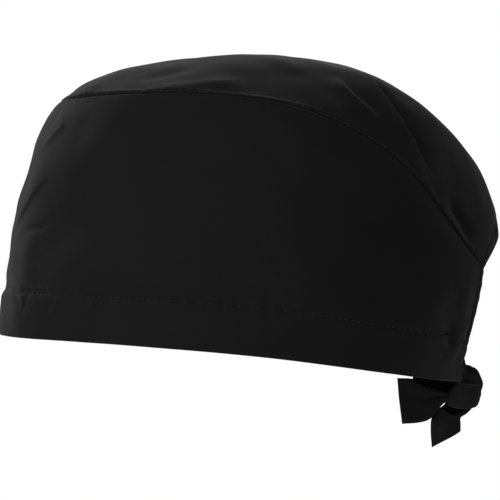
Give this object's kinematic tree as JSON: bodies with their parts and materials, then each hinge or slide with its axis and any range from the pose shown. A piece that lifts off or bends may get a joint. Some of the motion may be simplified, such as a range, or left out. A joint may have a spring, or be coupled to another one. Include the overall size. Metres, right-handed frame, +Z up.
{
  "type": "chef cap",
  "caption": "Close-fitting tie-back cloth chef cap: side panel and crown panel, wide stitched hem, open arch at the nape and two cloth ties knotted below it.",
  "frame": {"origin": "middle of the head opening, level with the hem's lower edge at the forehead", "axes": "+Z up through the crown, -Y towards the forehead, +Y towards the nape and the knot, +X towards the wearer's left"},
  "size_m": [0.1666, 0.2195, 0.1675],
  "materials": {
    "cloth": "matt twill weave, dyed black",
    "lining": "wrong side of the same twill, a little lighter",
    "thread": "spun polyester sewing thread, slight lustre",
    "tie": "matt twill weave, folded and edge-stitched",
    "label": "blank satin ribbon"
  },
  "bodies": {
    "cap": {"side_panel": "cloth", "crown_panel": "cloth", "hem_facing": "lining", "nape_edge_left": "lining", "nape_edge_right": "lining", "crown_nape_edge": "lining", "crown_seam_allowance": "lining", "hem_stitching": "thread", "crown_stitching": "thread", "nape_edge_stitching": "thread", "hem_end_tacks": "thread", "tie_left": "tie", "tie_right": "tie", "knot_wrap": "tie", "knot_core": "tie", "care_label": "label"},
    "left_tail": {"tail_left": "tie"},
    "right_tail": {"tail_right": "tie"}
  },
  "joints": [
    {"name": "left_tail_swing", "type": "hinge", "parent": "cap", "child": "left_tail", "pos_m": [0.0034, 0.0952, -0.009], "axis": [0, 0, 1], "range_deg": [-15, 70]},
    {"name": "right_tail_swing", "type": "hinge", "parent": "cap", "child": "right_tail", "pos_m": [-0.0036, 0.099, -0.0134], "axis": [0, 1, 0], "range_deg": [-10, 65]}
  ]
}
